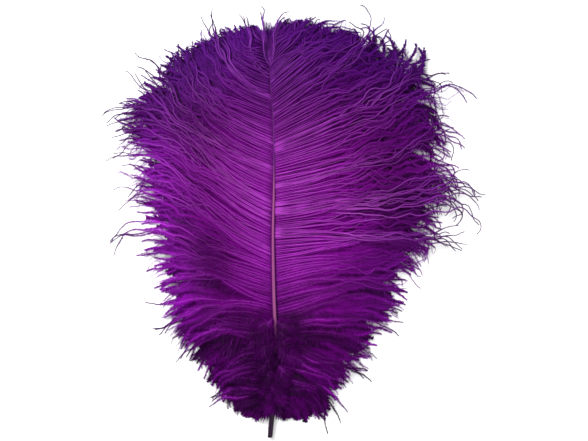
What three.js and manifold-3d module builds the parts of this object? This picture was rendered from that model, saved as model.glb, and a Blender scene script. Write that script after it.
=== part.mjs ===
// A dyed ostrich plume, lying face up: one quill that runs into a tapering shaft, with a vane of loose
// barbs on each side. The barbs hang together in locks, which grow out of the shaft, sweep towards
// the tip, flop over at their ends and come down to the surface that the plume lies on.
// Millimetres, +Z up. The plume's length runs along +Y, from the cut quill to the tip.

import * as THREE from "three";
import { mergeVertices } from "three/addons/utils/BufferGeometryUtils.js";
import Module from "manifold-3d";

const wasm = await Module();
wasm.setup();

// The shaft's middle line, as x, y and z from the point on the surface under the quill's cut end
const SHAFT_LINE = [
  [0, 0, 2.3],
  [3.5, 40, 4.8],
  [5, 80, 9],
  [3.6, 120, 13.4],
  [2.8, 170, 17.4],
  [3.6, 215, 19],
  [3.4, 261, 18],
  [0.8, 300, 14],
  [-1.4, 334, 8.5],
];

// The shaft's radius at mm along the plume: a round quill, then a taper to a hair at the tip
const SHAFT_RADIUS = [
  { at: 0, radius: 2.1 },
  { at: 30, radius: 2.3 },
  { at: 110, radius: 1.9 },
  { at: 200, radius: 1.2 },
  { at: 334, radius: 0.5 },
];
const SHAFT_SIDES = 8;
const SHAFT_STEPS = 16;

// Where the barbs of each vane end, at mm along the plume where they leave the shaft. reach is how far
// out a barb's tip lies from the shaft, and rise how far on towards the plume's tip. The angles are in
// degrees from the way to the plume's tip: leaves at the shaft, lands at the barb's own tip.
const LEFT_VANE = [
  { root: 24, reach: 14, rise: -6, leaves: 156, lands: 166 },
  { root: 34, reach: 25, rise: -13, leaves: 148, lands: 164 },
  { root: 46, reach: 36, rise: -18, leaves: 124, lands: 160 },
  { root: 58, reach: 46, rise: -21, leaves: 100, lands: 156 },
  { root: 72, reach: 58, rise: -18, leaves: 84, lands: 146 },
  { root: 88, reach: 80, rise: -12, leaves: 74, lands: 134 },
  { root: 104, reach: 98, rise: -2, leaves: 72, lands: 118 },
  { root: 120, reach: 106, rise: 10, leaves: 74, lands: 106 },
  { root: 137, reach: 116, rise: 34, leaves: 72, lands: 92 },
  { root: 150, reach: 120, rise: 58, leaves: 68, lands: 74 },
  { root: 167, reach: 120, rise: 68, leaves: 68, lands: 68 },
  { root: 184, reach: 126, rise: 74, leaves: 68, lands: 72 },
  { root: 201, reach: 136, rise: 72, leaves: 68, lands: 80 },
  { root: 218, reach: 122, rise: 80, leaves: 70, lands: 54 },
  { root: 235, reach: 101, rise: 86, leaves: 70, lands: 32 },
  { root: 252, reach: 86, rise: 80, leaves: 68, lands: 22 },
  { root: 269, reach: 75, rise: 71, leaves: 70, lands: 22 },
  { root: 286, reach: 65, rise: 57, leaves: 72, lands: 26 },
  { root: 303, reach: 51, rise: 43, leaves: 75, lands: 26 },
  { root: 320, reach: 33, rise: 29, leaves: 72, lands: 22 },
  { root: 334, reach: 14, rise: 18, leaves: 58, lands: 8 },
];
const RIGHT_VANE = [
  { root: 24, reach: 18, rise: -7, leaves: 162, lands: 168 },
  { root: 34, reach: 34, rise: -15, leaves: 150, lands: 158 },
  { root: 46, reach: 48, rise: -22, leaves: 138, lands: 148 },
  { root: 58, reach: 58, rise: -21, leaves: 126, lands: 142 },
  { root: 72, reach: 70, rise: -13, leaves: 110, lands: 126 },
  { root: 88, reach: 90, rise: -2, leaves: 90, lands: 108 },
  { root: 104, reach: 107, rise: 10, leaves: 78, lands: 96 },
  { root: 120, reach: 116, rise: 14, leaves: 73, lands: 92 },
  { root: 137, reach: 120, rise: 18, leaves: 74, lands: 88 },
  { root: 155, reach: 136, rise: 18, leaves: 82, lands: 86 },
  { root: 175, reach: 150, rise: 22, leaves: 84, lands: 84 },
  { root: 190, reach: 158, rise: 27, leaves: 82, lands: 82 },
  { root: 201, reach: 161, rise: 33, leaves: 80, lands: 80 },
  { root: 218, reach: 154, rise: 58, leaves: 78, lands: 58 },
  { root: 235, reach: 143, rise: 72, leaves: 74, lands: 60 },
  { root: 252, reach: 130, rise: 74, leaves: 66, lands: 54 },
  { root: 269, reach: 113, rise: 68, leaves: 55, lands: 54 },
  { root: 286, reach: 95, rise: 59, leaves: 50, lands: 54 },
  { root: 303, reach: 69, rise: 48, leaves: 44, lands: 46 },
  { root: 320, reach: 38, rise: 37, leaves: 36, lands: 36 },
  { root: 334, reach: 8, rise: 21, leaves: 16, lands: 8 },
];

// Locks: how many on each side, and the size of one in the middle of the plume
const LOCKS_A_SIDE = 34;
const FIRST_LOCK = 24;
const LAST_LOCK = 333;
const LOCK_WIDTH = 17;
const LOCK_THICKNESS = 5;
const LOCK_STEPS = 8;
const LOCK_SIDES = 4;
const SHORT_LOCK = 30; // a lock shorter than this is narrower too, in proportion
const ROOT_SHARE = 0.4; // a lock's width where it leaves the shaft, as a share of its full width
const TIP_SHARE = 0.12;
const BELLY_AT = 0.3; // shares of a lock's length: where it is full, and where it starts to narrow
const NARROWS_AT = 0.76;
const HANDLE = 0.45; // how far a lock keeps the way it leaves and lands in, as a share of its span
const LOFT = 13; // how far a lock's handles stand over the way straight down from the shaft
const LAYER_DROP = 5; // every other lock lies this much lower, as shingles do
const UNEVEN = 0.06; // how far a lock may be longer or shorter than its neighbours
const PLUME_COLOUR = "#7c1689";

const radians = THREE.MathUtils.degToRad;
const lerp = THREE.MathUtils.lerp;
const smoothstep = THREE.MathUtils.smoothstep;

// The value of one field of a list of rows at a place between them, by straight lines
function between(rows, key, at, field) {
  const next = rows.findIndex((row) => row[key] >= at);
  if (next <= 0) return next === 0 ? rows[0][field] : rows.at(-1)[field];
  const [before, after] = [rows[next - 1], rows[next]];
  const share = (at - before[key]) / (after[key] - before[key]);
  return lerp(before[field], after[field], share);
}

const shaftCurve = new THREE.CatmullRomCurve3(
  SHAFT_LINE.map(([x, y, z]) => new THREE.Vector3(x, y, z)),
);

// The point of the shaft's middle line at mm along the plume
function shaftAt(y) {
  const points = SHAFT_LINE.map((point) => point[1]);
  const next = Math.max(1, points.findIndex((value) => value >= y));
  const share = (y - points[next - 1]) / (points[next] - points[next - 1]);
  return shaftCurve.getPoint((next - 1 + share) / (SHAFT_LINE.length - 1));
}

// A closed cylinder drawn out along a line. lineAt gives the middle's point at a share of the length,
// and halfSize the half width and half thickness there. The thickness stays nearest to upright.
function drawnOut(sides, steps, lineAt, halfSize) {
  const geometry = new THREE.CylinderGeometry(1, 1, 1, sides, steps);
  const place = geometry.getAttribute("position");
  const vertex = new THREE.Vector3();
  const up = new THREE.Vector3(0, 0, 1);
  const nearby = 1e-3;
  for (let i = 0; i < place.count; i++) {
    vertex.fromBufferAttribute(place, i);
    const share = vertex.y + 0.5;
    const along = lineAt(Math.min(1, share + nearby))
      .sub(lineAt(Math.max(0, share - nearby)))
      .normalize();
    const across = along.clone().cross(up).normalize();
    const over = across.clone().cross(along);
    const [halfWidth, halfThickness] = halfSize(share);
    const moved = lineAt(share)
      .addScaledVector(across, vertex.x * halfWidth)
      .addScaledVector(over, vertex.z * halfThickness);
    place.setXYZ(i, moved.x, moved.y, moved.z);
  }
  return geometry;
}

// A closed geometry as a solid that can be joined to others
function solidOf(geometry) {
  geometry.deleteAttribute("normal");
  geometry.deleteAttribute("uv");
  const merged = mergeVertices(geometry, 1e-4);
  return new wasm.Manifold(
    new wasm.Mesh({
      numProp: 3,
      vertProperties: merged.getAttribute("position").array,
      triVerts: new Uint32Array(merged.index.array),
    }),
  );
}

// The quill and shaft: the cut end lies on the surface, the middle arches and the tip droops
function shaft() {
  const length = SHAFT_LINE.at(-1)[1];
  const halfSize = (share) => {
    const radius = between(SHAFT_RADIUS, "at", share * length, "radius");
    return [radius, radius];
  };
  return drawnOut(SHAFT_SIDES, SHAFT_STEPS, (share) => shaftAt(share * length), halfSize);
}

// One lock's middle line, from inside the shaft, out and over, to its tip on the surface
function lockLine(vane, side, index) {
  const at = lerp(FIRST_LOCK, LAST_LOCK, index / (LOCKS_A_SIDE - 1));
  const read = (field) => between(vane, "root", at, field);
  const heading = (angle, length) =>
    new THREE.Vector3(side * Math.sin(radians(angle)), Math.cos(radians(angle)), 0).multiplyScalar(
      length,
    );
  const root = shaftAt(at);
  const uneven = 1 + UNEVEN * Math.sin(index * 2.4 + side);
  const tip = root.clone().add(new THREE.Vector3(side * read("reach") * uneven, read("rise"), 0));
  tip.z = LOCK_THICKNESS * TIP_SHARE;
  const span = Math.hypot(tip.x - root.x, tip.y - root.y);
  const loft = Math.min(1, span / SHORT_LOCK) * LOFT - (index % 2) * LAYER_DROP;
  const outward = root.clone().add(heading(read("leaves"), HANDLE * span));
  const inward = tip.clone().sub(heading(read("lands"), HANDLE * span));
  outward.z = root.z + loft;
  inward.z = root.z / 2 + loft;
  return new THREE.CubicBezierCurve3(root, outward, inward, tip);
}

// One lock of barbs: narrow at the shaft, full in the middle and pointed at its tip
function lock(vane, side, index) {
  const line = lockLine(vane, side, index);
  const size = Math.min(1, line.v0.distanceTo(line.v3) / SHORT_LOCK);
  const halfSize = (share) => {
    const spread = lerp(ROOT_SHARE, 1, smoothstep(share, 0, BELLY_AT));
    const point = lerp(1, TIP_SHARE, smoothstep(share, NARROWS_AT, 1));
    const bulk = (size * spread * point) / 2;
    return [LOCK_WIDTH * bulk, LOCK_THICKNESS * bulk];
  };
  return drawnOut(LOCK_SIDES, LOCK_STEPS, (share) => line.getPoint(share), halfSize);
}

// The whole plume as one solid: it grew as one piece
function plume() {
  let grown = solidOf(shaft());
  for (let index = 0; index < LOCKS_A_SIDE; index++) {
    grown = grown.add(solidOf(lock(LEFT_VANE, -1, index)));
    grown = grown.add(solidOf(lock(RIGHT_VANE, 1, index)));
  }
  return grown;
}

// A joined solid as a geometry to draw
function geometryOf(solid) {
  const { numProp, vertProperties, triVerts } = solid.getMesh();
  const count = vertProperties.length / numProp;
  const points = new Float32Array(count * 3);
  for (let i = 0; i < count; i++) {
    points.set(vertProperties.subarray(i * numProp, i * numProp + 3), i * 3);
  }
  const geometry = new THREE.BufferGeometry();
  geometry.setAttribute("position", new THREE.BufferAttribute(points, 3));
  geometry.setIndex(new THREE.BufferAttribute(new Uint32Array(triVerts), 1));
  geometry.computeVertexNormals();
  return geometry;
}

const feather = new THREE.Mesh(
  geometryOf(plume()),
  new THREE.MeshStandardMaterial({ color: PLUME_COLOUR, roughness: 0.85, metalness: 0 }),
);
feather.name = "feather";

// The origin is on the surface, under the middle of the plume's outline
const box = new THREE.Box3().setFromObject(feather);
const middle = box.getCenter(new THREE.Vector3());
feather.position.set(-middle.x, -middle.y, -box.min.z);

const group = new THREE.Group();
group.add(feather);

export default group;
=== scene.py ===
"""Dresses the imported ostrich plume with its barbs, its down and its shaft, on a pale floor.

The plume's own measures are in millimetres from the quill's cut end: x to the right, y towards the tip
and z up from the surface. Blender's objects are in metres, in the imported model's frame.
"""

import logging
import math
from dataclasses import dataclass, field, replace
from enum import Enum

import bpy
import numpy as np
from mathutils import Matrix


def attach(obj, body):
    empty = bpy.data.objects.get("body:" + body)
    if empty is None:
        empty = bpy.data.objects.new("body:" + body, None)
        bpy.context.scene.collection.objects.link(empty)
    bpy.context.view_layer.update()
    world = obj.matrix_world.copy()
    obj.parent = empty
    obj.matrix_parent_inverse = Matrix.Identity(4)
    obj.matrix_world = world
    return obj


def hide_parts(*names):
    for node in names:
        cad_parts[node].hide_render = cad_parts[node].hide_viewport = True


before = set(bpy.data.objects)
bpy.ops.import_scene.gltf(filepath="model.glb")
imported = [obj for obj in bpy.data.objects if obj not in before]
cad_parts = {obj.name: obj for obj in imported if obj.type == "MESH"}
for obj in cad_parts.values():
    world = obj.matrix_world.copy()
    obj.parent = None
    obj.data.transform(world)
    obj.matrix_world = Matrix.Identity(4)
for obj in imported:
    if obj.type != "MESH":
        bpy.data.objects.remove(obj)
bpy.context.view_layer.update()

log = logging.getLogger("plume")

MM = 0.001
NODE = "feather"
BODY = "root"
END_SLICE_MM = 0.6  # how much of the cut end is looked at to find the quill
STEPS = 36  # along each barb's middle line
FINER_TIPS = 0.6  # how much shorter a barb's steps get towards its tip, where it curls
SEARCH_STEPS = 64  # along a smooth curve, to measure its length
HANDLE = 0.45  # of a barb's span: how far its curve's handles reach
DOWNY = (185.0, 95.0)  # mm along, from where to where the barbs turn to down


class Side(Enum):
    """The two vanes, as the sign of x."""

    LEFT = -1
    RIGHT = 1


class Slot(Enum):
    """The record's material slots."""

    BARBS = "barbs"
    QUILL = "quill"


def smoothstep(value: np.ndarray, low: float, high: float) -> np.ndarray:
    """A soft step from 0 at low to 1 at high.

    Args:
        value: The values to read the step at.
        low: Where the step starts.
        high: Where the step ends.

    Returns:
        The step's height at each value.
    """
    share = np.clip((value - low) / (high - low), 0.0, 1.0)
    return share * share * (3.0 - 2.0 * share)


def heading(side: int, angle: np.ndarray) -> np.ndarray:
    """The flat direction at an angle from the way to the tip, out to one side.

    Args:
        side: The sign of x on that side.
        angle: Angles in radians.

    Returns:
        Unit vectors, with one more axis than the angles.
    """
    return np.stack([side * np.sin(angle), np.cos(angle), np.zeros_like(angle)], axis=-1)


def plume_origin() -> np.ndarray:
    """Finds the point on the surface under the quill's cut end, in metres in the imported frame.

    Returns:
        The point that the plume's own measures start from.
    """
    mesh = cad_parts[NODE].data
    places = np.empty(len(mesh.vertices) * 3, dtype=np.float32)
    mesh.vertices.foreach_get("co", places)
    places = places.reshape(-1, 3)
    low = places[:, 1].min()
    end = places[places[:, 1] < low + END_SLICE_MM * MM]
    return np.array([(end[:, 0].min() + end[:, 0].max()) / 2, low, 0.0])


ORIGIN = plume_origin()


def to_frame(points: np.ndarray) -> np.ndarray:
    """Turns the plume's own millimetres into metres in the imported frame."""
    return points * MM + ORIGIN


def linear(colour: str) -> tuple[float, float, float, float]:
    """Turns an sRGB hex colour into the linear colour that Blender's sockets hold.

    Args:
        colour: The colour, as #rrggbb.

    Returns:
        Linear red, green and blue, and an alpha of 1.
    """
    parts = [int(colour[i : i + 2], 16) / 255 for i in (1, 3, 5)]
    red, green, blue = [p / 12.92 if p <= 0.04045 else ((p + 0.055) / 1.055) ** 2.4 for p in parts]
    return red, green, blue, 1.0


def add_node(
    tree: bpy.types.NodeTree,
    kind: str,
    settings: dict[str, object] | None = None,
    inputs: dict[str | int, object] | None = None,
) -> bpy.types.Node:
    """Adds a node with its settings, values and links.

    Args:
        tree: The material's node tree.
        kind: The node's type, such as ShaderNodeMix.
        settings: Values of the node's own properties.
        inputs: A value or another node's output for each named or numbered input.

    Returns:
        The new node.
    """
    node = tree.nodes.new(kind)
    for name, value in (settings or {}).items():
        setattr(node, name, value)
    for name, value in (inputs or {}).items():
        if isinstance(value, bpy.types.NodeSocket):
            tree.links.new(value, node.inputs[name])
        else:
            node.inputs[name].default_value = value
    return node


@dataclass
class ShaftLine:
    """The shaft's middle line and its thickness, from the cut quill to the hair-thin tip."""

    points: tuple[tuple[float, float, float], ...] = (
        (0, 0, 2.3),
        (3.5, 40, 4.8),
        (5, 80, 9),
        (3.6, 120, 13.4),
        (2.8, 170, 17.4),
        (3.6, 215, 19),
        (3.4, 261, 18),
        (0.8, 300, 14),
        (-1.4, 334, 8.5),
    )
    radii: tuple[tuple[float, float], ...] = ((0, 2.1), (30, 2.3), (110, 1.9), (200, 1.2), (334, 0.5))

    @property
    def length(self) -> float:
        """How far along the plume the shaft goes."""
        return self.points[-1][1]

    def at(self, along: np.ndarray) -> np.ndarray:
        """The middle line's points, by a smooth curve through the given ones.

        Args:
            along: Millimetres along the plume.

        Returns:
            One x, y and z for each.
        """
        points = np.array(self.points, dtype=float)
        ys = points[:, 1]
        slopes = np.gradient(points, ys, axis=0)
        i = np.clip(np.searchsorted(ys, along) - 1, 0, len(ys) - 2)
        gap = (ys[i + 1] - ys[i])[:, None]
        t = (along - ys[i])[:, None] / gap
        return (
            (2 * t**3 - 3 * t**2 + 1) * points[i]
            + (t**3 - 2 * t**2 + t) * gap * slopes[i]
            + (3 * t**2 - 2 * t**3) * points[i + 1]
            + (t**3 - t**2) * gap * slopes[i + 1]
        )

    def radius(self, along: np.ndarray) -> np.ndarray:
        """The shaft's radius at millimetres along the plume."""
        return np.interp(along, *np.array(self.radii, dtype=float).T)


SHAFT = ShaftLine()


@dataclass(frozen=True)
class Row:
    """Where a barb that leaves the shaft at root ends: reach out and rise on, and its two angles.

    curl is how many degrees its end turns on, past the way that it lands in.
    """

    root: float
    reach: float
    rise: float
    leaves: float
    lands: float
    curl: float


LEFT_ROWS = (
    Row(24, 14, -6, 156, 166, 10),
    Row(34, 27, -13, 148, 164, 10),
    Row(46, 39, -18, 124, 158, 10),
    Row(58, 50, -20, 100, 152, 10),
    Row(72, 61, -18, 84, 142, 15),
    Row(88, 80, -12, 74, 134, 15),
    Row(104, 95, -2, 72, 118, 20),
    Row(120, 103, 10, 74, 106, 25),
    Row(137, 112, 34, 72, 92, 25),
    Row(150, 116, 58, 68, 74, 25),
    Row(167, 116, 68, 68, 68, 30),
    Row(184, 123, 74, 68, 72, 35),
    Row(201, 136, 72, 68, 80, 45),
    Row(218, 122, 80, 70, 54, 70),
    Row(235, 101, 86, 70, 32, 100),
    Row(252, 86, 80, 68, 22, 120),
    Row(269, 75, 71, 70, 22, 110),
    Row(286, 65, 57, 72, 26, 90),
    Row(303, 51, 43, 75, 26, 70),
    Row(320, 33, 29, 72, 22, 50),
    Row(334, 14, 18, 58, 8, 30),
)
RIGHT_ROWS = (
    Row(24, 10, -5, 150, 162, 10),
    Row(34, 19, -15, 140, 154, 10),
    Row(46, 31, -27, 128, 146, 10),
    Row(58, 46, -34, 118, 142, 10),
    Row(66, 54, -28, 108, 134, 10),
    Row(76, 68, -20, 100, 124, 15),
    Row(88, 87, -7, 90, 110, 20),
    Row(104, 107, 10, 78, 96, 25),
    Row(120, 116, 14, 73, 92, 25),
    Row(137, 120, 18, 74, 88, 30),
    Row(155, 136, 18, 82, 86, 60),
    Row(175, 150, 22, 84, 84, 90),
    Row(190, 158, 27, 82, 82, 120),
    Row(201, 161, 33, 80, 80, 160),
    Row(218, 163, 60, 78, 58, 220),
    Row(235, 157, 80, 74, 60, 270),
    Row(252, 134, 72, 66, 62, 290),
    Row(269, 112, 65, 56, 64, 280),
    Row(286, 94, 60, 51, 60, 230),
    Row(303, 73, 52, 44, 50, 160),
    Row(320, 38, 37, 36, 36, 80),
    Row(334, 8, 21, 16, 8, 30),
)


@dataclass(frozen=True)
class Fringe:
    """A barb's barbules, the fine hairs along both sides of it, and the barb's own stem.

    Tuples hold values at even shares of the barb, from the shaft to its tip.
    """

    pitch: float = 0.42  # mm from one barbule to the next on each side
    width: float = 0.38  # mm at a barbule's foot
    length: tuple[float, ...] = (1.7, 2.3, 2.4, 2.3, 1.1)  # mm
    sweep: tuple[float, ...] = (22.0, 28.0, 34.0, 38.0, 28.0)  # degrees from the way to the barb's tip
    droop: tuple[float, ...] = (34.0, 26.0, 12.0, 2.0, 0.0)  # degrees down from the flat
    tilt: float = 20.0  # degrees that barbules differ by, up and down
    crowding: float = 1.0  # under 1, the barbules stand closer together towards the tip
    stem: float = 0.27  # the stem's radius at its foot, in mm, or 0 for none
    taper: float = 0.8  # how much thinner the stem gets to its tip, as a share
    stride: int = 1  # how many of the barb's steps one step of the stem takes
    depth: float = 0.0  # how deep in the plume's shade the barb lies, to 1, and under 0 for loose wisps


UNDER = Fringe(length=(2.0, 2.6, 2.6, 2.4, 1.2), crowding=0.75, stem=0.22, depth=0.3)
CURLED = Fringe(pitch=0.95, width=0.5, length=(1.0, 1.6, 2.2, 2.4, 1.3), crowding=0.4, stem=0.25, depth=0.15)
FELT = Fringe(
    pitch=1.0,
    width=2.4,
    length=(3.4, 5.6, 6.2, 6.0, 2.2),
    sweep=(36.0, 42.0, 46.0, 48.0, 36.0),
    tilt=8.0,
    stem=0.0,
    depth=1.0,
)
BOTTOM = Fringe(
    pitch=0.7,
    width=0.95,
    length=(2.0, 2.8, 3.0, 2.8, 1.4),
    crowding=0.6,
    stem=0.2,
    stride=2,
    depth=0.4,
)
STRAY = Fringe(pitch=0.6, width=0.4, length=(1.4, 1.4, 1.3, 1.1, 0.7), stem=0.4, taper=0.55, depth=-0.3)
WISP = Fringe(
    pitch=0.55,
    width=0.6,
    length=(1.2, 1.4, 1.7, 1.6, 0.9),
    crowding=0.4,
    stem=0.76,
    taper=0.4,
    depth=-0.2,
)
DOWN = Fringe(
    pitch=0.6,
    width=0.5,
    length=(3.0, 4.4, 4.8, 4.2, 2.2),
    sweep=(38.0, 40.0, 38.0, 34.0, 28.0),
    droop=(0.0, 0.0, 0.0, 0.0, 0.0),
    tilt=16.0,
    stem=0.3,
    stride=3,
)


@dataclass(frozen=True)
class Layer:
    """One of the layers that a vane's barbs lie in, one over the other."""

    pitch: float = 2.4  # mm between barbs along the shaft
    shift: float = 0.0  # share of the pitch that this layer is moved along by
    depth: float = 0.0  # mm under the face of the vane
    reach: float = 1.0  # a barb's reach, as a share of the vane's
    crown: float = 1.0  # what that share is multiplied by at the plume's top
    first: float = 0.0  # mm along the shaft where the layer starts
    clump: float = 0.55  # how far the barbs of a lock close up
    lock: float = 12.0  # mm along the shaft that one lock takes
    stray: float = 6.0  # degrees that a lock's way may differ from the next one's
    loose: float = 1.0  # the share of the vane's waves and curls that this layer has
    mixes: float = 0.0  # how far the layer comes up among the others in the plume's outer part
    fringe: Fringe = Fringe()


LOWEST = Layer(clump=0.2, stray=6, loose=0.4, fringe=BOTTOM)  # the last layers before the floor


@dataclass(frozen=True)
class Wave:
    """Sideways waves of a barb: how far they turn it, in degrees, and how long they are, in mm."""

    turn: float
    shortest: float
    longest: float
    together: bool = False  # whether a lock's barbs wave as one


@dataclass
class Chance:
    """Random numbers from -1 to 1: one for each barb, or one that all the barbs of a lock share."""

    rng: np.random.Generator
    lock: np.ndarray

    def own(self) -> np.ndarray:
        """A number for each barb."""
        return self.rng.uniform(-1, 1, len(self.lock))

    def shared(self) -> np.ndarray:
        """A number for each lock, given to all its barbs."""
        return self.rng.uniform(-1, 1, self.lock.max() + 1)[self.lock]


def barb_ends() -> np.ndarray:
    """The shares of a barb's length that its points lie at, closer together towards the tip."""
    even = np.linspace(0, 1, STEPS + 1)
    return even + FINER_TIPS * even * (1 - even)


ENDS = barb_ends()
MIDDLES = (ENDS[1:] + ENDS[:-1]) / 2


def laid_out(start: np.ndarray, side: np.ndarray, angle: np.ndarray, total: np.ndarray) -> np.ndarray:
    """Draws level lines by their headings.

    Args:
        start: Each line's first point.
        side: The sign of x that each line's angles turn to.
        angle: The heading at the middle of each of the line's steps.
        total: Each line's length in mm.

    Returns:
        The lines, as line, point and axis.
    """
    flat = np.stack([side[:, None] * np.sin(angle), np.cos(angle), np.zeros_like(angle)], axis=-1)
    steps = flat * (total[:, None] * np.diff(ENDS))[:, :, None]
    return np.concatenate([start[:, None], start[:, None] + np.cumsum(steps, axis=1)], axis=1)


def waved(out: np.ndarray, wave: Wave, chance: Chance) -> np.ndarray:
    """How far a wave turns each barb on its way.

    Args:
        out: How far along its barb each step lies, in mm.
        wave: The wave.
        chance: The source of all that is uneven.

    Returns:
        The turn in radians.
    """
    draw = chance.shared if wave.together else chance.own
    size = 0.7 + 0.3 * draw()
    length = np.interp(draw(), (-1, 1), (wave.shortest, wave.longest))
    phase = math.pi * draw()
    turn = np.radians(wave.turn) * size[:, None]
    return turn * np.sin(math.tau * out / length[:, None] + phase[:, None])


@dataclass(frozen=True)
class Wisp:
    """A few loose barbs that leave the vane together."""

    barbs: int
    row: Row


LEFT_WISPS = (
    Wisp(4, Row(196, 142, 82, 68, 94, 15)),
    Wisp(4, Row(192, 144, 80, 68, 106, 15)),
    Wisp(3, Row(182, 138, 66, 68, 112, 15)),
    Wisp(2, Row(160, 142, 66, 68, 106, 10)),
    Wisp(2, Row(156, 137, 65, 68, 88, 10)),
    Wisp(2, Row(140, 129, 63, 68, 114, 15)),
    Wisp(2, Row(130, 137, 47, 70, 128, 15)),
    Wisp(2, Row(122, 140, 49, 70, 112, 15)),
    Wisp(2, Row(112, 112, 53, 74, 92, 15)),
    Wisp(6, Row(226, 112, 98, 70, 36, 30)),
    Wisp(6, Row(252, 82, 82, 68, 14, -60)),
    Wisp(6, Row(284, 60, 68, 64, 20, -25)),
    Wisp(3, Row(308, 20, 52, 60, 2, -25)),
    Wisp(3, Row(318, 6, 44, 34, 6, 25)),
    Wisp(4, Row(46, 50, -20, 116, 146, 5)),
    Wisp(5, Row(84, 82, -12, 78, 128, 10)),
    Wisp(5, Row(108, 106, -2, 76, 116, 15)),
)
RIGHT_WISPS = (
    Wisp(18, Row(194, 176, 32, 84, 70, 180)),
    Wisp(9, Row(174, 160, 14, 86, 82, 60)),
    Wisp(6, Row(216, 156, 52, 80, 66, 200)),
    Wisp(6, Row(246, 138, 84, 68, 50, 260)),
    Wisp(6, Row(276, 102, 76, 56, 40, 250)),
    Wisp(6, Row(304, 52, 52, 46, 30, 110)),
    Wisp(4, Row(318, 14, 38, 26, 40, 40)),
    Wisp(4, Row(96, 108, -2, 84, 112, 15)),
    Wisp(4, Row(70, 76, -22, 104, 128, 15)),
    Wisp(4, Row(60, 56, -44, 122, 144, 5)),
)


@dataclass
class Vane:
    """One side's barbs: where they lie, and how they gather in locks, wave and curl.

    Sizes are in mm and turns in degrees. A pair of places says where along the shaft a change starts and
    ends, and a pair of other numbers is for the locks and for the barbs in them.
    """

    side: Side
    rows: tuple[Row, ...]
    wisps: tuple[Wisp, ...]
    clefts: tuple[tuple[float, float], ...]  # where the vane opens, and how far it turns to each side
    seed: int
    cleft_width: float = 9.0
    first: float = 25.0
    last: float = 333.0
    wisp_width: float = 5.0  # how far to each side of its row's root a wisp's barbs leave
    loft: float = 13.0  # how far a barb's handles stand over the way straight down from the shaft
    tip_height: float = 1.2
    full: float = 60.0  # shorter barbs wave and lift less, in proportion
    waves: tuple[Wave, ...] = (
        Wave(18, 34, 66, together=True),
        Wave(16, 16, 30, together=True),
        Wave(26, 16, 34),
        Wave(14, 8, 15),
    )
    curls_at: float = 0.75  # the share of its length where a barb starts to curl
    turned_back: float = 0.2  # the share of locks that curl the other way
    uneven: tuple[float, float] = (0.03, 0.03)  # shares that lengths differ by
    broken: float = 0.1  # the share that the odd barb is shorter by
    leaves_by: float = 1.5  # how far barbs differ where they leave the shaft
    lands_by: tuple[float, float] = (10.0, 8.0)  # how far they differ where they land
    covered: tuple[float, float] = (185.0, 285.0)  # where barbs close over the shaft's face
    frayed: tuple[float, float] = (200.0, 260.0)  # where lengths get more uneven, towards the tip
    wild: tuple[float, float] = (110.0, 60.0)  # where lengths and landings do, towards the quill
    unruly: tuple[float, float] = (150.0, 230.0)  # where barbs wave more, towards the tip
    crown: tuple[float, float] = (220.0, 300.0)  # where a layer's reach changes to its crown's

    def read(self, roots: np.ndarray, name: str) -> np.ndarray:
        """One field of the rows, between them by straight lines.

        Args:
            roots: Where the barbs leave the shaft.
            name: The field's name.

        Returns:
            The field for each barb.
        """
        return np.interp(roots, [row.root for row in self.rows], [getattr(row, name) for row in self.rows])

    def layered(self, layer: Layer, rng: np.random.Generator) -> np.ndarray:
        """Works out the middle lines of one layer of barbs.

        Args:
            layer: The layer that the barbs lie in.
            rng: The source of all that is uneven.

        Returns:
            The lines, as barb, point and axis.
        """
        first = max(self.first, layer.first)
        roots = np.arange(first + layer.shift * layer.pitch, self.last, layer.pitch)
        roots = roots + rng.uniform(-0.2, 0.2, len(roots)) * layer.pitch
        lock = np.cumsum(rng.uniform(0, 1, len(roots)) < layer.pitch / layer.lock)
        return Growth(self, roots, layer, Chance(rng, lock)).lines()

    def loose(self, wisp: Wisp, rng: np.random.Generator) -> np.ndarray:
        """Works out the middle lines of a wisp's barbs, which hang together in threes.

        Args:
            wisp: The wisp.
            rng: The source of all that is uneven.

        Returns:
            The lines, as barb, point and axis.
        """
        roots = wisp.row.root + rng.uniform(-self.wisp_width, self.wisp_width, wisp.barbs)
        chance = Chance(rng, np.arange(wisp.barbs) // 3)
        layer = Layer(depth=3.0, clump=min(0.45, wisp.barbs / 20), stray=5.0, loose=0.6, mixes=1.2)
        return Growth(replace(self, rows=(wisp.row,)), roots, layer, chance).lines()


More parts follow.
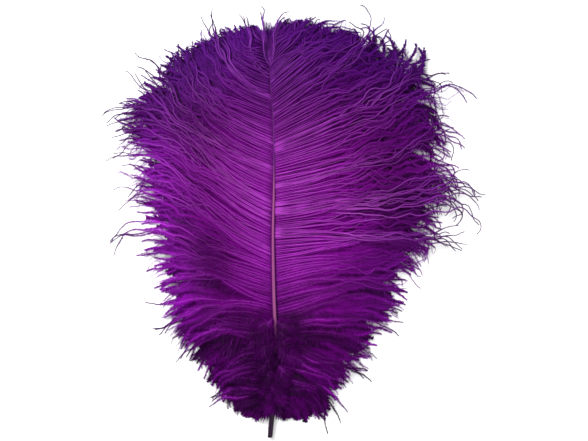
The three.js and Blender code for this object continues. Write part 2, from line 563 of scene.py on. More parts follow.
@dataclass
class Growth:
    """Barbs of one layer as they grow from given places on the shaft, with the chances they take."""

    vane: Vane
    roots: np.ndarray
    layer: Layer
    chance: Chance

    def lines(self) -> np.ndarray:
        """Works out the barbs' middle lines.

        Returns:
            The lines, as barb, point and axis.
        """
        side = np.full(len(self.roots), self.vane.side.value)
        curve = self.curves()
        total, angle, height = self.unrolled(curve)
        curl = self.vane.read(self.roots, "curl")
        total = total * (1 + 0.02 * np.minimum(1, np.abs(curl) / 200))  # a curled end takes a little more
        angle += self.turns(total, curl)
        lines = laid_out(curve[:, 0], side, angle, total)
        lines[:, :, 2] = height
        return self.gathered(lines, np.minimum(1, total / self.vane.full))

    def starts(self) -> np.ndarray:
        """Where barbs leave the shaft: from its flanks, and near the plume's tip from its face.

        Returns:
            A point for each barb.
        """
        start = SHAFT.at(self.roots)
        radius = SHAFT.radius(self.roots)
        over = smoothstep(self.roots, *self.vane.covered)
        start[:, 0] += self.vane.side.value * radius * (0.75 - 0.65 * over)
        start[:, 2] += radius * (1.3 * over - 0.4)
        return start

    def curves(self) -> np.ndarray:
        """The barbs' smooth curves, out and over from the shaft to their tips.

        Returns:
            The curves, as barb, step and axis.
        """
        vane, chance, roots = self.vane, self.chance, self.roots
        side = vane.side.value
        start = self.starts()
        base = smoothstep(roots, *vane.wild)
        more = 1 + 0.8 * smoothstep(roots, *vane.frayed) + 0.6 * base
        differs = vane.uneven[0] * chance.shared() + vane.uneven[1] * chance.own()
        longer = 1 + more * (differs - vane.broken * chance.own() ** 4)
        longer *= np.interp(roots, vane.crown, (1, self.layer.crown))
        reach = vane.read(roots, "reach") * self.layer.reach * longer
        rise = vane.read(roots, "rise") * longer
        leaves = np.radians(vane.read(roots, "leaves") + vane.leaves_by * chance.own())
        differs = vane.lands_by[0] * chance.shared() + vane.lands_by[1] * chance.own()
        lands = np.radians(vane.read(roots, "lands") + (1 + 1.2 * base) * differs)
        tip = start + np.stack([side * reach, rise, np.zeros_like(rise)], axis=1)
        tip[:, 2] = vane.tip_height
        span = np.hypot(reach, rise)
        loft = vane.loft * np.minimum(1, span / 40)  # a short barb arches less
        outward = start + heading(side, leaves) * (HANDLE * span)[:, None]
        inward = tip - heading(side, lands) * (HANDLE * span)[:, None]
        outward[:, 2] = start[:, 2] + loft
        inward[:, 2] = start[:, 2] / 2 + loft
        share = np.linspace(0, 1, SEARCH_STEPS + 1)[:, None, None]
        curve = (
            (1 - share) ** 3 * start
            + 3 * (1 - share) ** 2 * share * outward
            + 3 * (1 - share) * share**2 * inward
            + share**3 * tip
        )
        return curve.transpose(1, 0, 2)

    def unrolled(self, curve: np.ndarray) -> tuple[np.ndarray, np.ndarray, np.ndarray]:
        """Measures smooth curves along their length.

        Args:
            curve: The curves, as barb, step and axis.

        Returns:
            Each curve's level length, its heading at each of MIDDLES, and its height at each of ENDS.
        """
        steps = np.diff(curve, axis=1)
        lengths = np.hypot(steps[:, :, 0], steps[:, :, 1])
        run = np.concatenate([np.zeros((len(curve), 1)), np.cumsum(lengths, axis=1)], axis=1)
        total = run[:, -1]
        turned = np.unwrap(np.arctan2(self.vane.side.value * steps[:, :, 0], steps[:, :, 1]), axis=1)
        angle = [np.interp(MIDDLES * t, (r[1:] + r[:-1]) / 2, a) for t, r, a in zip(total, run, turned)]
        height = [np.interp(ENDS * t, r, z) for t, r, z in zip(total, run, curve[:, :, 2])]
        return total, np.stack(angle), np.stack(height)

    def turns(self, total: np.ndarray, curl: np.ndarray) -> np.ndarray:
        """How the barbs wave, stray and curl.

        Args:
            total: Each barb's length in mm.
            curl: How many degrees each barb's end turns on.

        Returns:
            The turn in radians at each of MIDDLES.
        """
        vane, layer, chance, roots = self.vane, self.layer, self.chance, self.roots
        soft = smoothstep(roots, *DOWNY)
        upper = smoothstep(roots, *vane.unruly)
        unruly = 1 + 0.4 * np.minimum(1, np.abs(curl) / 150) + 0.3 * upper - 0.35 * soft
        size = (np.minimum(1, total / vane.full) * layer.loose * unruly)[:, None]
        angle = sum(waved(MIDDLES * total[:, None], wave, chance) for wave in vane.waves)
        angle *= smoothstep(MIDDLES, 0.18, 0.65) * size
        stray = layer.stray * chance.shared() + (6 + 12 * soft) * chance.own()
        angle += np.radians(stray)[:, None] * smoothstep(MIDDLES, 0.1, 0.6)
        for at, opens in vane.clefts:
            near = np.exp(-np.abs(roots - at) / vane.cleft_width) * np.sign(at - roots) * layer.loose
            angle += np.radians(opens * near)[:, None] * smoothstep(MIDDLES, 0.02, 0.3)
        curled = np.clip((MIDDLES - vane.curls_at) / (1 - vane.curls_at), 0, 1) ** 1.4
        way = np.where(chance.shared() > 1 - 2 * vane.turned_back, -1, 1)
        size = curl * (1.1 + 0.5 * chance.shared() + 0.7 * chance.own()) * way * layer.loose
        return angle + np.radians(size)[:, None] * curled

    def gathered(self, lines: np.ndarray, size: np.ndarray) -> np.ndarray:
        """Draws the barbs of each lock together, and lays the locks over and under each other.

        Args:
            lines: The barbs' lines, which this changes.
            size: Each barb's length as a share of a full one's.

        Returns:
            The same lines.
        """
        layer, chance, lock = self.layer, self.chance, self.chance.lock
        guides = np.zeros((lock.max() + 1, *lines.shape[1:]))
        np.add.at(guides, lock, lines)
        guides /= np.maximum(1, np.bincount(lock))[:, None, None]
        held = smoothstep(ENDS, 0.12, 0.6) * (1 - 0.65 * smoothstep(ENDS, 0.7, 1.0))
        close = layer.clump * (0.8 + 0.2 * chance.own())[:, None] * held
        lines += (guides[lock] - lines) * close[:, :, None]
        for axis in (0, 1):
            lines[:, :, axis] += 1.2 * chance.own()[:, None] * close
        over = 2.4 * chance.shared() + 0.9 * chance.own()
        lines[:, :, 2] += smoothstep(ENDS, 0.1, 0.6) * (over * size)[:, None]
        raised = 5 * np.abs(chance.shared()) * size
        lines[:, :, 2] += raised[:, None] * np.clip((ENDS - self.vane.curls_at) * 4, 0, 1) ** 2
        mixed = 1 - layer.mixes * smoothstep(ENDS, 0.3, 0.75)
        lines[:, :, 2] -= layer.depth * smoothstep(ENDS, 0.0, 0.12) * mixed
        lowest = 0.5 + 0.3 * np.abs(chance.own())
        lines[:, :, 2] = np.maximum(lines[:, :, 2], lowest[:, None])
        return lines


@dataclass(frozen=True)
class PaintedLightPatch:
    """A soft patch on the barbs' colour: painted shade where its light is under 1, painted light where it is
    over 1.
    """

    middle: tuple[float, float]  # mm across and along
    size: tuple[float, float]  # mm from its middle to where it fades, across and along
    # painted shade under 1, painted light over 1
    light: float  # what the barbs' brightness there is multiplied by
    lean: float = 0.0  # degrees that its long way leans to the right


# Painted shade and painted light, laid on the barbs' colour in soft patches; the barbs' shape is the same
# there.
PAINTED_LIGHT_PATCHES = (
    PaintedLightPatch((-46, 150), (26, 42), 0.34, lean=-24),
    PaintedLightPatch((0, 84), (56, 30), 0.36),
    PaintedLightPatch((0, 36), (44, 30), 0.46),
    PaintedLightPatch((-6, 56), (12, 12), 0.5),
    PaintedLightPatch((22, 97), (11, 9), 0.5),
    PaintedLightPatch((-56, 262), (30, 50), 0.62),
    PaintedLightPatch((-58, 215), (22, 40), 0.75),
    PaintedLightPatch((82, 240), (36, 60), 0.68),
    PaintedLightPatch((112, 205), (30, 45), 0.62),
    PaintedLightPatch((60, 128), (40, 30), 0.62),
    PaintedLightPatch((-94, 175), (16, 60), 1.45, lean=-8),
    PaintedLightPatch((-72, 112), (14, 24), 1.35, lean=-20),
    PaintedLightPatch((-9, 210), (11, 85), 1.22),
    PaintedLightPatch((9, 205), (6, 45), 0.88),
)


def painted_light(places: np.ndarray) -> np.ndarray:
    """How much the painted shade and painted light of the patches darken or brighten the plume.

    Args:
        places: Points in mm.

    Returns:
        What each point's brightness is multiplied by.
    """
    light = np.ones(len(places))
    for spot in PAINTED_LIGHT_PATCHES:
        off = places[:, :2] - np.array(spot.middle)
        lean = math.radians(spot.lean)
        across = off[:, 0] * math.cos(lean) - off[:, 1] * math.sin(lean)
        along = off[:, 0] * math.sin(lean) + off[:, 1] * math.cos(lean)
        near = np.exp(-((across / spot.size[0]) ** 2) - (along / spot.size[1]) ** 2)
        light *= 1 + (spot.light - 1) * near
    return light


@dataclass(frozen=True)
class DownTufts:
    """The soft tufts at the quill's upper end, which fall towards the cut end and hide the shaft."""

    tufts: int = 64
    barbs: int = 6
    roots: tuple[float, float] = (36.0, 102.0)
    falls: tuple[float, float] = (166.0, 104.0)  # degrees from the way to the tip, at those roots
    lengths: tuple[float, float] = (20.0, 50.0)  # mm, at those roots
    arch: float = 8.0
    fans: float = 18.0
    seed: int = 5

    def grow(self) -> np.ndarray:
        """Works out the middle lines of the down's barbs.

        Returns:
            The lines, as barb, point and axis.
        """
        rng = np.random.default_rng(self.seed)
        lock = np.repeat(np.arange(self.tufts), self.barbs)
        chance = Chance(rng, lock)
        up = ((chance.shared() + 1) / 2) ** 1.5 + 0.03 * chance.own()
        roots = np.interp(up, (0, 1), self.roots)
        side = np.where(chance.shared() > 0, 1, -1)
        start = SHAFT.at(roots)
        radius = SHAFT.radius(roots)
        start[:, 0] += side * radius * (0.45 + 0.3 * chance.own())
        start[:, 2] += radius * 0.5
        fall = np.interp(roots, self.roots, self.falls)
        fall = fall + self.fans * chance.shared() + 0.4 * self.fans * chance.own()
        total = np.interp(roots, self.roots, self.lengths)
        total = total * (0.7 + 0.25 * chance.shared() + 0.15 * chance.own())
        angle = np.radians(fall)[:, None] + np.radians(24 * chance.own())[:, None] * MIDDLES
        angle = angle + waved(MIDDLES * total[:, None], Wave(14, 12, 28), chance)
        lines = laid_out(start, side, angle, total)
        arch = self.arch * (0.75 + 0.3 * chance.shared() + 0.25 * chance.own())
        lines[:, :, 2] += 4 * arch[:, None] * ENDS * (1 - ENDS) - start[:, 2:3] * ENDS * 0.5
        lines[:, :, 2] = np.maximum(lines[:, :, 2], 0.6)
        return lines


@dataclass(frozen=True)
class Crown:
    """The barbs round the shaft's end, which close the plume's top."""

    barbs: int = 120
    first: float = 318.0
    spread: float = 56.0
    length: tuple[float, float] = (8.0, 20.0)  # mm past the shaft's end
    seed: int = 11

    def grow(self) -> np.ndarray:
        """Works out the middle lines of the crown's barbs.

        Returns:
            The lines, as barb, point and axis.
        """
        rng = np.random.default_rng(self.seed)
        chance = Chance(rng, np.arange(self.barbs) // 3)
        short = (SHAFT.length - self.first) * chance.own() ** 2
        roots = SHAFT.length - 0.5 - short
        side = np.where(chance.own() > 0, 1, -1)
        start = SHAFT.at(roots)
        start[:, 2] += 1.2
        total = short + np.interp(chance.own(), (-1, 1), self.length)
        leaves = self.spread * np.abs(0.7 * chance.shared() + 0.5 * chance.own())
        angle = np.radians(leaves)[:, None] + np.radians(20 + 60 * chance.own())[:, None] * MIDDLES**2
        for wave in (Wave(16, 18, 34), Wave(9, 8, 14)):
            angle = angle + waved(MIDDLES * total[:, None], wave, chance) * smoothstep(MIDDLES, 0.1, 0.7)
        lines = laid_out(start, side, angle, total)
        fall = start[:, 2:3] * (1 - 0.6 * ENDS) + 3 * np.abs(chance.own())[:, None] * ENDS
        lines[:, :, 2] = np.maximum(fall, 0.6)
        return lines


@dataclass
class Bundle:
    """Barbs that have the same fringe, as points and triangles."""

    lines: np.ndarray
    fringe: Fringe
    rng: np.random.Generator
    first_row: int
    rows: int
    corners: int = 3
    places: list[np.ndarray] = field(default_factory=list)
    marks: list[np.ndarray] = field(default_factory=list)
    maps: list[np.ndarray] = field(default_factory=list)
    faces: list[np.ndarray] = field(default_factory=list)
    count: int = 0

    def __post_init__(self) -> None:
        """Works out each barb's frame along its line, and adds all that it is made of."""
        self.luck = self.rng.uniform(0, 1, len(self.lines))
        self.soft = smoothstep(self.lines[:, 0, 1], *DOWNY)
        along = np.gradient(self.lines, axis=1)
        self.along = along / np.linalg.norm(along, axis=2, keepdims=True)
        across = np.cross(self.along, (0.0, 0.0, 1.0))
        self.across = across / np.linalg.norm(across, axis=2, keepdims=True)
        self.over = np.cross(self.across, self.along)
        self.lengths = np.linalg.norm(np.diff(self.lines, axis=1), axis=2).sum(axis=1)
        if self.fringe.stem:
            self.add_stems()
        self.add_barbules(-1)
        self.add_barbules(1)

    def add(self, places: np.ndarray, marks: np.ndarray, maps: np.ndarray, faces: np.ndarray) -> None:
        """Adds points and triangles to the mesh.

        Args:
            places: The points in mm.
            marks: Each point's share along its barb, its barb's luck, its nearness to the stem and
                its depth.
            maps: Each point's place on the map that the finish is baked on.
            faces: Triangles, as numbers of these points.
        """
        self.places.append(places)
        self.marks.append(marks)
        self.maps.append(maps)
        self.faces.append(faces + self.count)
        self.count += len(places)

    def add_stems(self) -> None:
        """Adds each barb's own thin stem, a tapering tube."""
        stride = slice(None, None, self.fringe.stride)
        lines, across, over = self.lines[:, stride], self.across[:, stride], self.over[:, stride]
        barbs, rings = lines.shape[:2]
        ends = ENDS[stride]
        radius = self.fringe.stem * (1 - 0.55 * self.soft)[:, None] * (1 - self.fringe.taper * ends)
        turn = math.tau * np.arange(self.corners) / self.corners + math.pi / 2
        spokes = across[:, :, None] * np.cos(turn)[:, None] + over[:, :, None] * np.sin(turn)[:, None]
        places = lines[:, :, None] + spokes * radius[:, :, None, None]
        ring = np.arange(self.corners)
        near = np.stack([ring, (ring + 1) % self.corners], axis=1)
        quads = np.concatenate([near, near[:, ::-1] + self.corners], axis=1)
        halves = np.concatenate([quads[:, [0, 1, 2]], quads[:, [0, 2, 3]]])
        step = np.arange(rings - 1)[:, None, None] * self.corners
        barb = np.arange(barbs)[:, None, None, None] * rings * self.corners
        faces = (halves + step + barb).reshape(-1, 3)
        caps = np.array([ring[::-1][:3], (ring + (rings - 1) * self.corners)[:3]])
        faces = np.concatenate([faces, (caps + barb[:, 0]).reshape(-1, 3)])
        shape = (barbs, rings, self.corners)
        share = np.broadcast_to(ends[:, None], shape)
        luck = np.broadcast_to(self.luck[:, None, None], shape)
        marks = np.stack([share, luck, np.ones(shape), np.full(shape, self.fringe.depth)], axis=-1)
        middle = (self.first_row + np.arange(barbs) + 0.5) / self.rows
        v = middle[:, None, None] + (0.06 / self.rows) * np.cos(turn)
        maps = np.stack([0.01 + 0.98 * share, np.broadcast_to(v, shape)], axis=-1)
        self.add(places.reshape(-1, 3), marks.reshape(-1, 4), maps.reshape(-1, 2), faces)

    def add_barbules(self, hand: int) -> None:
        """Adds the barbules of one side of every barb.

        Args:
            hand: 1 for those on the right of the way to the barb's tip, and -1 for the left.
        """
        fringe = self.fringe
        counts = np.maximum(4, (self.lengths / fringe.pitch).astype(int))
        barb = np.repeat(np.arange(len(counts)), counts)
        order = np.arange(counts.sum()) - np.repeat(np.cumsum(counts) - counts, counts)
        share = ((order + self.rng.uniform(0, 1, len(order))) / counts[barb]) ** fringe.crowding
        low = np.clip(np.searchsorted(ENDS, share) - 1, 0, STEPS - 1)
        part = ((share - ENDS[low]) / (ENDS[low + 1] - ENDS[low]))[:, None]

        def here(values: np.ndarray) -> np.ndarray:
            """The values at each barbule's foot."""
            return values[barb, low] * (1 - part) + values[barb, low + 1] * part

        knots = np.linspace(0, 1, len(fringe.length))
        soft = self.soft[barb]
        length = np.interp(share, knots, fringe.length) * self.rng.uniform(0.65, 1.2, len(share))
        length *= 1 + 1.1 * soft * (1 - 0.9 * share**2)
        sweep = np.interp(share, knots, fringe.sweep) * self.rng.uniform(0.7, 1.35, len(share))
        sweep = np.radians(sweep + 14 * soft)
        tilt = self.rng.normal(0, fringe.tilt, len(share)) * (1 + 0.3 * soft)
        tilt = np.radians(tilt - np.interp(share, knots, fringe.droop) * (1 - soft))
        along, across, over, foot = here(self.along), here(self.across), here(self.over), here(self.lines)
        outward = hand * across * np.cos(tilt)[:, None] + over * np.sin(tilt)[:, None]
        tip = foot + length[:, None] * (np.cos(sweep)[:, None] * along + np.sin(sweep)[:, None] * outward)
        tip[:, 2] = np.maximum(tip[:, 2], 0.1)
        half = along * (fringe.width / 2)
        places = np.stack([foot - half, foot + half, tip], axis=1)
        if hand > 0:
            places = places[:, ::-1]
        core = np.array([0.85, 0.85, 0.0] if hand < 0 else [0.0, 0.85, 0.85])
        shape = (len(share), 3)
        marks = np.stack(
            [
                np.broadcast_to(share[:, None], shape),
                np.broadcast_to(self.luck[barb][:, None], shape),
                np.broadcast_to(core, shape),
                np.full(shape, fringe.depth),
            ],
            axis=-1,
        )
        width_share = fringe.width / self.lengths[barb] / 2
        tip_share = share + length * np.cos(sweep) / self.lengths[barb]
        shares = np.stack([share - width_share, share + width_share, tip_share], axis=1)
        outs = np.zeros(shape)
        outs[:, 2] = length / (2.52 * max(fringe.length))
        if hand > 0:
            shares, outs = shares[:, ::-1], outs[:, ::-1]
        middle = self.first_row + barb[:, None] + 0.5
        v = (middle + hand * (0.06 + 0.4 * np.minimum(outs, 1))) / self.rows
        maps = np.stack([0.01 + 0.98 * np.clip(shares, 0, 1), v], axis=-1)
        faces = np.arange(len(share) * 3).reshape(-1, 3)
        self.add(places.reshape(-1, 3), marks.reshape(-1, 4), maps.reshape(-1, 2), faces)


@dataclass
class BarbPiece:
    """One piece of the plume: many barbs with their barbules, joined in one mesh."""

    name: str
    groups: list[tuple[np.ndarray, Fringe]]
    rng: np.random.Generator

    def build(self, finish: bpy.types.Material, slot: Slot) -> bpy.types.Object:
        """Makes the object, dresses it and hangs it on the plume.

        Args:
            finish: The piece's material.
            slot: The record's slot that the finish stands for; not used.

        Returns:
            The finished piece.
        """
        rows = sum(len(lines) for lines, _ in self.groups)
        done, first = 0, 0
        places, faces, marks, maps = [], [], [], []
        for lines, fringe in self.groups:
            bundle = Bundle(lines, fringe, self.rng, done, rows)
            done += len(lines)
            places += bundle.places
            marks += bundle.marks
            maps += bundle.maps
            faces += [part + first for part in bundle.faces]
            first += bundle.count
        places = np.concatenate(places)
        luck = np.concatenate(marks)[:, 1]
        # The light attribute: the patches' painted shade and painted light, and in the down a random
        # brightness per barb.
        soft = 1 - smoothstep(places[:, 1], 70, 150)
        light = (painted_light(places) * (1 + soft * (1.3 * luck - 0.75))).astype(np.float32)
        places = to_frame(places).astype(np.float32)
        faces = np.concatenate(faces).astype(np.int32)
        mesh = bpy.data.meshes.new(self.name)
        mesh.vertices.add(len(places))
        mesh.vertices.foreach_set("co", places.ravel())
        mesh.loops.add(faces.size)
        mesh.loops.foreach_set("vertex_index", faces.ravel())
        mesh.polygons.add(len(faces))
        mesh.polygons.foreach_set("loop_start", np.arange(0, faces.size, 3, dtype=np.int32))
        mesh.polygons.foreach_set("loop_total", np.full(len(faces), 3, dtype=np.int32))
        mesh.update(calc_edges=True)
        attribute = mesh.attributes.new("barb", "FLOAT_COLOR", "POINT")
        attribute.data.foreach_set("color", np.concatenate(marks).astype(np.float32).ravel())
        mesh.attributes.new("light", "FLOAT", "POINT").data.foreach_set("value", light)
        layer = mesh.uv_layers.new(name="OFBake")
        corner_maps = np.concatenate(maps).astype(np.float32)[faces.ravel()]
        layer.data.foreach_set("uv", corner_maps.ravel())
        mesh.materials.append(finish)
        piece = bpy.data.objects.new(self.name, mesh)
        bpy.context.scene.collection.objects.link(piece)
        settle(piece)
        return piece


def settle(piece: bpy.types.Object) -> None:
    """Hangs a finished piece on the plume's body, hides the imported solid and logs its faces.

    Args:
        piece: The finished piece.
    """
    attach(piece, BODY)
    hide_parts(NODE)
    log.info("%s: %d faces", piece.name, len(piece.data.polygons))


@dataclass(frozen=True)
class DyedBarbs:
    """Ostrich barbs soaked in an acid dye: soft keratin that soaks it up deeply, with a faint silk sheen.

    The colour is pinkish towards the shaft and bluish towards the barbs' tips and the plume's top. The down
    and the deeper layers are darkened as painted shade, soft patches carry painted shade and painted light,
    and the stems a paler tone with a painted highlight.
    """

    name: str = "acid_dyed_ostrich_barbs"
    centre: str = "#9e08b0"
    rim: str = "#7a0c92"
    top: str = "#5a0c88"
    # the down's darker colour: painted shade of the thick down round the quill
    down: str = "#6a007c"
    # the stems' paler tone with a painted highlight along them, and its bluer kind at the rims
    pale_stem_and_painted_highlight: str = "#c45ccf"
    rim_pale_stem_and_painted_highlight: str = "#8638a8"
    patch: float = 14.0  # mm across a patch that took the dye unevenly
    down_middle: tuple[float, float, float] = (0.0, 45.0, 0.0)  # mm, where the down is thickest

    def build(self) -> bpy.types.Material:
        """Makes the material.

        Returns:
            The new material.
        """
        material = bpy.data.materials.new(self.name)
        material.use_nodes = True
        tree = material.node_tree
        tree.nodes.clear()
        mark = add_node(tree, "ShaderNodeAttribute", {"attribute_name": "barb"})
        split = add_node(tree, "ShaderNodeSeparateColor", inputs={0: mark.outputs["Color"]})
        place = add_node(tree, "ShaderNodeTexCoord").outputs["Object"]
        made = {"share": split.outputs[0], "depth": mark.outputs["Alpha"]}
        made["along"] = add_node(tree, "ShaderNodeSeparateXYZ", inputs={0: place}).outputs["Y"]
        # the patches' painted shade and painted light
        made["painted_light_patches"] = add_node(tree, "ShaderNodeAttribute", {"attribute_name": "light"}).outputs["Fac"]
        middle = to_frame(np.array(self.down_middle))
        made["away"] = add_node(
            tree, "ShaderNodeVectorMath", {"operation": "DISTANCE"}, {0: place, 1: middle}
        ).outputs["Value"]
        noise = {"Vector": place, "Scale": 1 / (self.patch * MM), "Detail": 2.0}
        cloud = add_node(tree, "ShaderNodeTexNoise", inputs=noise).outputs["Fac"]
        for name, operation, inputs in (
            ("glint", "POWER", {0: split.outputs[2], 1: 5.0}),
            ("patches", "MULTIPLY_ADD", {0: split.outputs[1], 1: 0.6, 2: cloud}),
        ):
            made[name] = add_node(tree, "ShaderNodeMath", {"operation": operation}, inputs).outputs[0]
        for name, value, low, high, at_low, at_high in (
            ("outer", "share", 0.2, 0.95, 0.0, 1.0),
            ("upper", "along", ORIGIN[1] + 215 * MM, ORIGIN[1] + 345 * MM, 0.0, 0.9),
            # lower: nearness to the down, for its painted shade
            ("lower", "away", 120 * MM, 25 * MM, 0.0, 1.0),
            ("inner", "share", 0.0, 0.16, 0.5, 0.74),
            # bare and crisp: where the stems' painted highlight shows, less on the deeper layers and towards
            # the quill
            ("bare", "depth", 0.0, 0.35, 1.0, 0.1),
            ("crisp", "along", ORIGIN[1] + 160 * MM, ORIGIN[1] + 80 * MM, 1.0, 0.5),
            ("dyed", "patches", 0.3, 1.3, 0.62, 0.98),
            ("dim", "upper", 0.0, 0.45, 1.0, 0.76),
            # painted shade: the deeper layers' barbs are darkened
            ("painted_depth_shade", "depth", 0.0, 1.0, 1.0, 0.45),
            ("loose", "depth", 0.0, -0.3, 0.0, -0.9),
            ("ends", "share", 0.7, 0.97, 0.0, 1.0),
        ):
            inputs = {"Value": made[value], "From Min": low, "From Max": high}
            inputs |= {"To Min": at_low, "To Max": at_high}
            made[name] = add_node(
                tree, "ShaderNodeMapRange", {"interpolation_type": "SMOOTHSTEP"}, inputs
            ).outputs[0]
        kept = {0: made["ends"], 1: made["loose"], 2: 1.0}  # loose ends turn dark
        made["kept"] = add_node(tree, "ShaderNodeMath", {"operation": "MULTIPLY_ADD"}, kept).outputs[0]
        for name, operation, factors in (
            ("rims", "MAXIMUM", ("outer", "upper")),
            # the stems' paler tone and their painted highlight, strongest on the stems of the top layers
            ("pale_stem_and_painted_highlight", "MULTIPLY", ("glint", "inner", "bare", "crisp")),
            # brightness: uneven dye, darker to the top, the patches' painted shade and painted light, the
            # deeper layers' painted shade, dark loose ends
            ("value", "MULTIPLY", ("dyed", "dim", "painted_light_patches", "painted_depth_shade", "kept")),
        ):
            made[name] = made[factors[0]]
            for factor in factors[1:]:
                pair = {0: made[name], 1: made[factor]}
                made[name] = add_node(tree, "ShaderNodeMath", {"operation": operation}, pair).outputs[0]
        for name, under, factor, over in (
            # the stems' colour with its painted highlight
            ("stem_colour_with_painted_highlight", self.pale_stem_and_painted_highlight, "rims", self.rim_pale_stem_and_painted_highlight),
            ("rimmed", self.centre, "outer", self.rim),
            ("topped", "rimmed", "upper", self.top),
            # the down's painted shade
            ("painted_down_shade_mixed", "topped", "lower", self.down),
            ("colour", "painted_down_shade_mixed", "pale_stem_and_painted_highlight", "stem_colour_with_painted_highlight"),
        ):
            pair = [made[side] if side in made else linear(side) for side in (under, over)]
            inputs = {0: made[factor], 6: pair[0], 7: pair[1]}
            made[name] = add_node(tree, "ShaderNodeMix", {"data_type": "RGBA"}, inputs).outputs[2]
        shade = add_node(
            tree, "ShaderNodeHueSaturation", inputs={"Color": made["colour"], "Value": made["value"]}
        ).outputs["Color"]
        body = add_node(
            tree,
            "ShaderNodeBsdfPrincipled",
            inputs={"Base Color": shade, "Roughness": 0.5, "IOR": 1.45, "Specular IOR Level": 0.04},
        )
        through = add_node(tree, "ShaderNodeBsdfTranslucent", inputs={"Color": shade})
        mixed = add_node(
            tree, "ShaderNodeMixShader", inputs={0: 0.15, 1: body.outputs[0], 2: through.outputs[0]}
        )
        add_node(tree, "ShaderNodeOutputMaterial", inputs={"Surface": mixed.outputs[0]})
        return material


@dataclass(frozen=True)
class StudioPaper:
    """White backdrop paper: matt, so that the floor stays plain and pale."""

    name: str = "white_backdrop_paper"
    colour: str = "#f4f4f4"

    def build(self) -> bpy.types.Material:
        """Makes the material.

        Returns:
            The new material.
        """
        material = bpy.data.materials.new(self.name)
        material.use_nodes = True
        shader = material.node_tree.nodes["Principled BSDF"]
        shader.inputs["Base Color"].default_value = linear(self.colour)
        shader.inputs["Roughness"].default_value = 0.9
        shader.inputs["Specular IOR Level"].default_value = 0.0
        return material


@dataclass(frozen=True)
class HornShaft:
    """The shaft's horn: smooth keratin that takes less dye, pinkish on its face, with painted shade on its
    flanks and over the shaft under the down, and dark at the quill.
    """

    name: str = "dyed_quill_horn"
    face: str = "#7c3c6a"
    # painted shade along the shaft's flanks, where they meet the barbs
    painted_flank_shade: str = "#4a0c50"
    tip: str = "#440a52"
    # the quill's dark horn; the same colour reaches up the shaft as painted shade under the down tufts
    quill: str = "#1c0a20"

    def build(self) -> bpy.types.Material:
        """Makes the material.

        Returns:
            The new material.
        """
        material = bpy.data.materials.new(self.name)
        material.use_nodes = True
        tree = material.node_tree
        tree.nodes.clear()
        mark = add_node(tree, "ShaderNodeAttribute", {"attribute_name": "shaft"})
        along, edge, _ = add_node(tree, "ShaderNodeSeparateXYZ", inputs={0: mark.outputs["Vector"]}).outputs
        shown = linear(self.face)
        for value, low, high, colour in (
            # painted shade on the flanks
            (edge, 0.45, 0.8, self.painted_flank_shade),
            (along, 200.0, 240.0, self.tip),
            # the quill's own dark horn, reaching up to 118 mm as painted shade under the down tufts
            (along, 118.0, 52.0, self.quill),
        ):
            ramp = add_node(
                tree,
                "ShaderNodeMapRange",
                {"interpolation_type": "SMOOTHSTEP"},
                {"Value": value, "From Min": low, "From Max": high},
            )
            inputs = {0: ramp.outputs[0], 6: shown, 7: linear(colour)}
            shown = add_node(tree, "ShaderNodeMix", {"data_type": "RGBA"}, inputs).outputs[2]
        body = add_node(
            tree,
            "ShaderNodeBsdfPrincipled",
            inputs={"Base Color": shown, "Roughness": 0.4, "IOR": 1.54, "Specular IOR Level": 0.12},
        )
        add_node(tree, "ShaderNodeOutputMaterial", inputs={"Surface": body.outputs[0]})
        return material


def clear_selection() -> None:
    """Leaves edit mode and selects nothing."""
    if bpy.context.object and bpy.context.object.mode != "OBJECT":
        bpy.ops.object.mode_set(mode="OBJECT")
    bpy.ops.object.select_all(action="DESELECT")


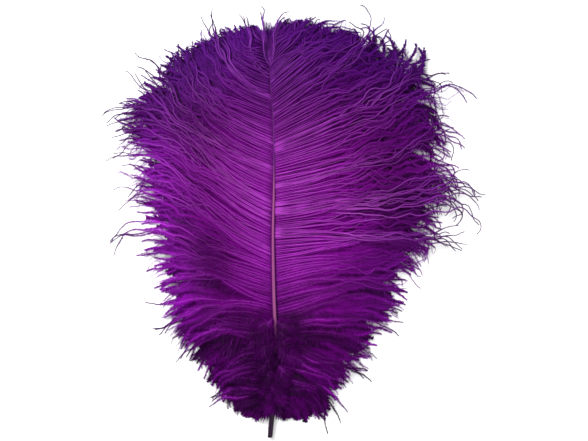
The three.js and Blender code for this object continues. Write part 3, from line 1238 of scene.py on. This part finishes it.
@dataclass
class Shaft:
    """The quill and shaft: a hollow cut end, a round quill and a shaft that tapers to a hair."""

    name: str = "quill_and_shaft"
    corners: int = 16
    stations: int = 48
    wall: float = 0.5
    bore: float = 9.0

    def build(self) -> bpy.types.Object:
        """Models the shaft from a disc, station by station, and hollows its cut end.

        Returns:
            The finished piece.
        """
        clear_selection()
        along = np.linspace(0, SHAFT.length, self.stations + 1)
        middles = to_frame(SHAFT.at(along))
        radii = SHAFT.radius(along) * MM
        bpy.ops.mesh.primitive_circle_add(
            vertices=self.corners,
            radius=radii[0],
            fill_type="NGON",
            location=middles[0],
            rotation=(math.pi / 2, 0, 0),
        )
        piece = bpy.context.object
        piece.name = self.name
        bpy.ops.object.transform_apply(location=True, rotation=True, scale=True)
        bpy.ops.object.mode_set(mode="EDIT")
        bpy.ops.mesh.select_all(action="SELECT")
        for step, grown in zip(np.diff(middles, axis=0), radii[1:] / radii[:-1]):
            bpy.ops.mesh.extrude_region_move(TRANSFORM_OT_translate={"value": tuple(step)})
            bpy.ops.transform.resize(value=(grown, grown, grown))
        bpy.ops.mesh.select_all(action="SELECT")
        bpy.ops.mesh.normals_make_consistent(inside=False)
        bpy.ops.object.mode_set(mode="OBJECT")
        self.hollow(piece)
        self.mark(piece)
        piece.data.materials.append(HornShaft().build())
        bpy.ops.object.shade_smooth_by_angle(angle=math.radians(40))
        clear_selection()
        settle(piece)
        return piece

    def hollow(self, piece: bpy.types.Object) -> None:
        """Opens the quill's cut end.

        Args:
            piece: The shaft, closed at both ends.
        """
        bpy.ops.object.mode_set(mode="EDIT")
        bpy.ops.mesh.select_mode(type="FACE")
        bpy.ops.mesh.select_all(action="DESELECT")
        bpy.ops.object.mode_set(mode="OBJECT")
        ends = [f for f in piece.data.polygons if len(f.vertices) > 4 and f.normal.y < -0.5]
        ends[0].select = True
        bpy.ops.object.mode_set(mode="EDIT")
        bpy.ops.mesh.inset(thickness=self.wall * MM)
        bpy.ops.mesh.extrude_region_move(TRANSFORM_OT_translate={"value": (0, self.bore * MM, 0)})
        bpy.ops.object.mode_set(mode="OBJECT")

    def mark(self, piece: bpy.types.Object) -> None:
        """Marks each point with its mm along the shaft and how far round the side it is.

        Args:
            piece: The shaft.
        """
        places = np.array([v.co for v in piece.data.vertices])
        local = (places - ORIGIN) / MM
        middle = SHAFT.at(local[:, 1])
        edge = np.abs(local[:, 0] - middle[:, 0]) / np.maximum(0.1, SHAFT.radius(local[:, 1]))
        marks = np.stack([local[:, 1], edge, np.zeros(len(edge))], axis=1)
        layer = piece.data.attributes.new("shaft", "FLOAT_VECTOR", "POINT")
        layer.data.foreach_set("vector", marks.astype(np.float32).ravel())


@dataclass
class Plume:
    """The whole feather: the shaft, and each vane's barbs in three lengths of it."""

    bounds: tuple[tuple[str, float, float], ...] = (
        ("lower", 0, 125),
        ("middle", 125, 225),
        ("upper", 225, 400),
    )
    vanes: tuple[Vane, ...] = (
        Vane(Side.LEFT, LEFT_ROWS, LEFT_WISPS, ((80, 9), (113, 10), (141, 6), (176, 6)), seed=3),
        Vane(Side.RIGHT, RIGHT_ROWS, RIGHT_WISPS, ((62, 8), (92, 9), (150, 5), (176, 7), (208, 6)), seed=8),
    )
    layers: tuple[Layer, ...] = (
        Layer(),
        Layer(shift=0.5, depth=2.0, reach=1.0, clump=0.45, stray=8, mixes=0.9, fringe=UNDER),
        Layer(shift=0.35, depth=1.4, reach=1.03, first=140, clump=0.3, stray=11, loose=1.2, fringe=CURLED),
        Layer(shift=0.25, depth=4.0, reach=0.87, crown=0.88, clump=0.15, stray=4, loose=0.3, fringe=FELT),
        Layer(shift=0.75, depth=5.4, reach=0.85, crown=0.88, clump=0.15, stray=4, loose=0.3, fringe=FELT),
        replace(LOWEST, shift=0.1, depth=6.6, reach=0.98, crown=0.96, mixes=0.6),
        replace(LOWEST, shift=0.6, depth=7.4, reach=0.95, crown=0.95, mixes=0.4),
        Layer(pitch=9.0, depth=1.0, reach=1.08, first=125, clump=0.1, stray=14, loose=1.2, fringe=STRAY),
    )

    def build(self) -> None:
        """Builds every piece of the feather."""
        Shaft().build()
        finish = DyedBarbs().build()
        for vane in self.vanes:
            rng = np.random.default_rng(vane.seed)
            grown = [(vane.layered(layer, rng), layer.fringe) for layer in self.layers]
            grown += [(vane.loose(wisp, rng), WISP) for wisp in vane.wisps]
            for name, low, high in self.bounds:
                groups = []
                for lines, fringe in grown:
                    inside = (lines[:, 0, 1] >= low) & (lines[:, 0, 1] < high)
                    if inside.any():
                        groups.append((lines[inside], fringe))
                piece = f"barbs_{vane.side.name.lower()}_{name}"
                BarbPiece(piece, groups, rng).build(finish, Slot.BARBS)
        down = BarbPiece("down_tufts", [(DownTufts().grow(), DOWN)], np.random.default_rng(21))
        down.build(finish, Slot.BARBS)
        crown = BarbPiece("crown_barbs", [(Crown().grow(), Fringe())], np.random.default_rng(22))
        crown.build(finish, Slot.BARBS)


@dataclass
class Studio:
    """The floor, the soft lights and the camera that looks straight down."""

    pixel: float = 0.85  # mm of the plume to a pixel of the picture
    picture: tuple[int, int] = (588, 441)
    quill_pixel: tuple[float, float] = (270.0, 437.0)
    lens: float = 85.0
    sensor: float = 36.0
    floor_size: float = 6.0

    def build(self) -> None:
        """Sets the stage round the feather."""
        self.add_floor()
        self.add_light("key_light", (-1.0, 0.9, 1.15), 0.8, 54.0)
        self.add_light("fill_light", (1.1, -0.5, 1.4), 1.4, 14.0)
        self.add_world()
        self.add_camera()
        scene = bpy.context.scene
        scene.view_settings.view_transform = "Standard"
        scene.view_settings.look = "None"

    def add_floor(self) -> None:
        """Lays the pale floor that the feather rests on."""
        clear_selection()
        bpy.ops.mesh.primitive_plane_add(size=self.floor_size)
        floor = bpy.context.object
        floor.name = "floor"
        floor.data.materials.append(StudioPaper().build())

    def add_light(self, name: str, place: tuple[float, float, float], size: float, power: float) -> None:
        """Adds a square soft light that faces the feather.

        Args:
            name: The light's name.
            place: Where it hangs, in metres.
            size: The length of its sides, in metres.
            power: Its power in watts.
        """
        lamp = bpy.data.lights.new(name, "AREA")
        lamp.size = size
        lamp.energy = power
        light = bpy.data.objects.new(name, lamp)
        light.location = place
        light.rotation_euler = (-light.location).to_track_quat("-Z", "Y").to_euler()
        bpy.context.scene.collection.objects.link(light)

    def add_world(self) -> None:
        """Fills the room with even white light."""
        world = bpy.data.worlds.new("soft_room")
        world.use_nodes = True
        shader = world.node_tree.nodes["Background"]
        shader.inputs["Color"].default_value = (1, 1, 1, 1)
        shader.inputs["Strength"].default_value = 0.66
        bpy.context.scene.world = world

    def add_camera(self) -> None:
        """Hangs the camera over the feather, so that the quill's end meets its pixel."""
        width = self.picture[0] * self.pixel
        across = (self.picture[0] / 2 - self.quill_pixel[0]) * self.pixel
        along = (self.quill_pixel[1] - self.picture[1] / 2) * self.pixel
        data = bpy.data.cameras.new("camera")
        data.lens = self.lens
        data.sensor_width = self.sensor
        camera = bpy.data.objects.new("camera", data)
        height = width * self.lens / self.sensor
        camera.location = to_frame(np.array([across, along, height]))
        bpy.context.scene.collection.objects.link(camera)
        bpy.context.scene.camera = camera


def main() -> None:
    """Builds the feather and sets the stage."""
    logging.basicConfig(level=logging.INFO, format="%(name)s %(message)s")
    Plume().build()
    Studio().build()


if __name__ == "__main__":
    main()
